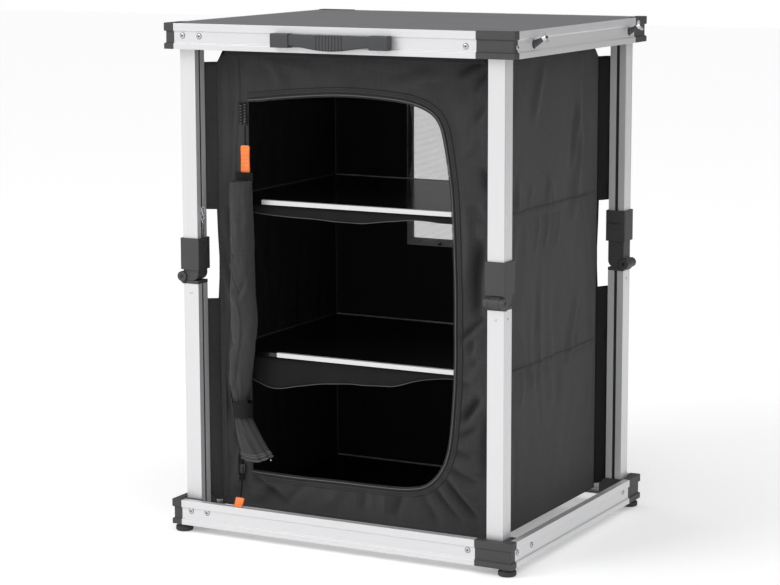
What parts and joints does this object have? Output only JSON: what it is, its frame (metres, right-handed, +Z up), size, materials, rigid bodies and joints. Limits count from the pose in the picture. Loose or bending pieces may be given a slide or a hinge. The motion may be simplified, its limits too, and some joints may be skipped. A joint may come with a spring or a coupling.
{
  "type": "camping cupboard",
  "caption": "Folding camp kitchen cupboard: slotted aluminium legs with folding knees between two rail frames, a hung fabric cabinet with shelves, zip door and a table top.",
  "frame": {"origin": "centre of the overall bounding box on the ground, under the feet", "axes": "+Z up, -Y out of the door side (front), +X to the right seen from the front"},
  "size_m": [0.6228, 0.515, 0.81],
  "materials": {
    "aluminium": "fine brushed, natural anodised",
    "dark_plastic": "fine grained dark grey moulding",
    "rubber": "matt black",
    "laminate": "smooth mid grey laminate on board",
    "shelf_board": "black coated board",
    "fabric": "dark grey plain-woven polyester",
    "mesh": "fine light grey netting",
    "strap": "black webbing",
    "zip_metal": "black painted zinc",
    "orange": "orange moulded tab",
    "steel": "zinc-plated"
  },
  "bodies": {
    "base_frame": {"base_corner_front_left": "dark_plastic", "base_corner_front_right": "dark_plastic", "base_corner_rear_right": "dark_plastic", "base_corner_rear_left": "dark_plastic", "base_rail_front": "aluminium", "base_rail_right": "aluminium", "base_rail_rear": "aluminium", "base_rail_left": "aluminium", "foot_front_left": "rubber", "foot_front_right": "rubber", "foot_rear_right": "rubber", "foot_rear_left": "rubber", "bottom_board": "shelf_board", "fabric_cabinet": "fabric", "rear_mesh_window": "mesh", "rolled_door": "fabric", "door_strap": "strap"},
    "front_left_lower_leg": {"lower_leg_front_left": "aluminium", "lower_knuckle_front_left": "dark_plastic"},
    "front_right_lower_leg": {"lower_leg_front_right": "aluminium", "lower_knuckle_front_right": "dark_plastic"},
    "rear_right_lower_leg": {"lower_leg_rear_right": "aluminium", "lower_knuckle_rear_right": "dark_plastic"},
    "rear_left_lower_leg": {"lower_leg_rear_left": "aluminium", "lower_knuckle_rear_left": "dark_plastic"},
    "front_left_upper_leg": {"upper_leg_front_left": "aluminium", "upper_knuckle_front_left": "dark_plastic"},
    "front_right_upper_leg": {"upper_leg_front_right": "aluminium", "upper_knuckle_front_right": "dark_plastic"},
    "rear_right_upper_leg": {"upper_leg_rear_right": "aluminium", "upper_knuckle_rear_right": "dark_plastic"},
    "rear_left_upper_leg": {"upper_leg_rear_left": "aluminium", "upper_knuckle_rear_left": "dark_plastic"},
    "front_left_sleeve": {"lock_sleeve_front_left": "dark_plastic"},
    "front_right_sleeve": {"lock_sleeve_front_right": "dark_plastic"},
    "rear_right_sleeve": {"lock_sleeve_rear_right": "dark_plastic"},
    "rear_left_sleeve": {"lock_sleeve_rear_left": "dark_plastic"},
    "table_frame": {"table_corner_front_left": "dark_plastic", "table_corner_front_right": "dark_plastic", "table_corner_rear_right": "dark_plastic", "table_corner_rear_left": "dark_plastic", "table_rail_front": "aluminium", "table_rail_right": "aluminium", "table_rail_rear": "aluminium", "table_rail_left": "aluminium", "table_board": "laminate", "handle_block_left": "dark_plastic", "handle_block_right": "dark_plastic", "side_stud_front": "dark_plastic", "side_stud_rear": "dark_plastic"},
    "handle": {"handle_grip": "dark_plastic"},
    "front_nut": {"wing_nut_front": "steel"},
    "rear_nut": {"wing_nut_rear": "steel"},
    "lower_shelf": {"shelf_lower": "shelf_board"},
    "upper_shelf": {"shelf_upper": "shelf_board"},
    "upper_slider": {"zip_slider_upper": "zip_metal"},
    "upper_pull": {"zip_pull_upper": "orange"},
    "lower_slider": {"zip_slider_lower": "zip_metal"},
    "lower_pull": {"zip_pull_lower": "orange"}
  },
  "joints": [
    {"name": "fold", "type": "hinge", "parent": "base_frame", "child": "front_left_lower_leg", "pos_m": [-0.28289, -0.207, 0.034], "axis": [0, 1, 0], "range_deg": [0, 87], "deforming": ["fabric_cabinet", "rear_mesh_window", "rolled_door", "door_strap", "zip_pull_lower"]},
    {"name": "fold_lower_front_right", "type": "hinge", "parent": "base_frame", "child": "front_right_lower_leg", "pos_m": [0.25311, -0.214, 0.034], "axis": [-1, 0, 0], "range_deg": [0, 87]},
    {"name": "fold_lower_rear_right", "type": "hinge", "parent": "base_frame", "child": "rear_right_lower_leg", "pos_m": [0.26011, 0.222, 0.034], "axis": [0, -1, 0], "range_deg": [0, 87]},
    {"name": "fold_lower_rear_left", "type": "hinge", "parent": "base_frame", "child": "rear_left_lower_leg", "pos_m": [-0.27589, 0.229, 0.034], "axis": [1, 0, 0], "range_deg": [0, 87]},
    {"name": "knee_front_left", "type": "hinge", "parent": "front_left_lower_leg", "child": "front_left_upper_leg", "pos_m": [-0.29819, -0.207, 0.41075], "axis": [0, 1, 0], "range_deg": [-174, 0]},
    {"name": "knee_front_right", "type": "hinge", "parent": "front_right_lower_leg", "child": "front_right_upper_leg", "pos_m": [0.25311, -0.2293, 0.41075], "axis": [-1, 0, 0], "range_deg": [-174, 0]},
    {"name": "knee_rear_right", "type": "hinge", "parent": "rear_right_lower_leg", "child": "rear_right_upper_leg", "pos_m": [0.27541, 0.222, 0.41075], "axis": [0, -1, 0], "range_deg": [-174, 0]},
    {"name": "knee_rear_left", "type": "hinge", "parent": "rear_left_lower_leg", "child": "rear_left_upper_leg", "pos_m": [-0.27589, 0.2443, 0.41075], "axis": [1, 0, 0], "range_deg": [-174, 0]},
    {"name": "table_pivot", "type": "hinge", "parent": "front_left_upper_leg", "child": "table_frame", "pos_m": [-0.28289, -0.207, 0.7875], "axis": [0, 1, 0], "range_deg": [0, 87]},
    {"name": "sleeve_front_left", "type": "slide", "parent": "front_left_upper_leg", "child": "front_left_sleeve", "axis": [0, 0, 1], "range_m": [0, 0.028]},
    {"name": "sleeve_front_right", "type": "slide", "parent": "front_right_upper_leg", "child": "front_right_sleeve", "axis": [0, 0, 1], "range_m": [0, 0.028]},
    {"name": "sleeve_rear_right", "type": "slide", "parent": "rear_right_upper_leg", "child": "rear_right_sleeve", "axis": [0, 0, 1], "range_m": [-0.026, 0.004]},
    {"name": "sleeve_rear_left", "type": "slide", "parent": "rear_left_upper_leg", "child": "rear_left_sleeve", "axis": [0, 0, 1], "range_m": [0, 0.028]},
    {"name": "lower_shelf_drop", "type": "slide", "parent": "base_frame", "child": "lower_shelf", "axis": [0, 0, 1], "range_m": [-0.2412, 0]},
    {"name": "upper_shelf_drop", "type": "slide", "parent": "base_frame", "child": "upper_shelf", "axis": [0, 0, 1], "range_m": [-0.476, 0]},
    {"name": "upper_slider_drop", "type": "slide", "parent": "base_frame", "child": "upper_slider", "axis": [0, 0, 1], "range_m": [-0.575, 0]},
    {"name": "lower_slider_drop", "type": "slide", "parent": "base_frame", "child": "lower_slider", "axis": [0, 0, 1], "range_m": [-0.0222, 0]},
    {"name": "upper_pull_swing", "type": "hinge", "parent": "upper_slider", "child": "upper_pull", "pos_m": [-0.20389, -0.1813, 0.6486], "axis": [1, 0, 0], "range_deg": [-78, 0]},
    {"name": "lower_pull_swing", "type": "hinge", "parent": "lower_slider", "child": "lower_pull", "pos_m": [-0.21709, -0.1813, 0.09], "axis": [1, 0, 0], "range_deg": [-60, 0]},
    {"name": "handle_swing", "type": "hinge", "parent": "table_frame", "child": "handle", "pos_m": [-0.01139, -0.2523, 0.7898], "axis": [-1, 0, 0], "range_deg": [0, 90]},
    {"name": "front_nut_turn", "type": "hinge", "parent": "table_frame", "child": "front_nut", "pos_m": [0.30173, -0.1725, 0.79636], "axis": [0.8829, 0, 0.4695], "continuous": true},
    {"name": "rear_nut_turn", "type": "hinge", "parent": "table_frame", "child": "rear_nut", "pos_m": [0.30173, 0.1875, 0.79636], "axis": [0.8829, 0, 0.4695], "continuous": true}
  ],
  "couplings": [
    {"joint": "fold_lower_front_right", "follows": "fold", "ratio": 1},
    {"joint": "fold_lower_rear_right", "follows": "fold", "ratio": 1},
    {"joint": "fold_lower_rear_left", "follows": "fold", "ratio": 1},
    {"joint": "knee_front_left", "follows": "fold", "ratio": -2},
    {"joint": "knee_front_right", "follows": "fold", "ratio": -2},
    {"joint": "knee_rear_right", "follows": "fold", "ratio": -2},
    {"joint": "knee_rear_left", "follows": "fold", "ratio": -2},
    {"joint": "table_pivot", "follows": "fold", "ratio": 1},
    {"joint": "lower_shelf_drop", "follows": "fold", "m_per_rad": -0.1581},
    {"joint": "upper_shelf_drop", "follows": "fold", "m_per_rad": -0.3122},
    {"joint": "upper_slider_drop", "follows": "fold", "m_per_rad": -0.377},
    {"joint": "lower_slider_drop", "follows": "fold", "m_per_rad": -0.0145}
  ]
}
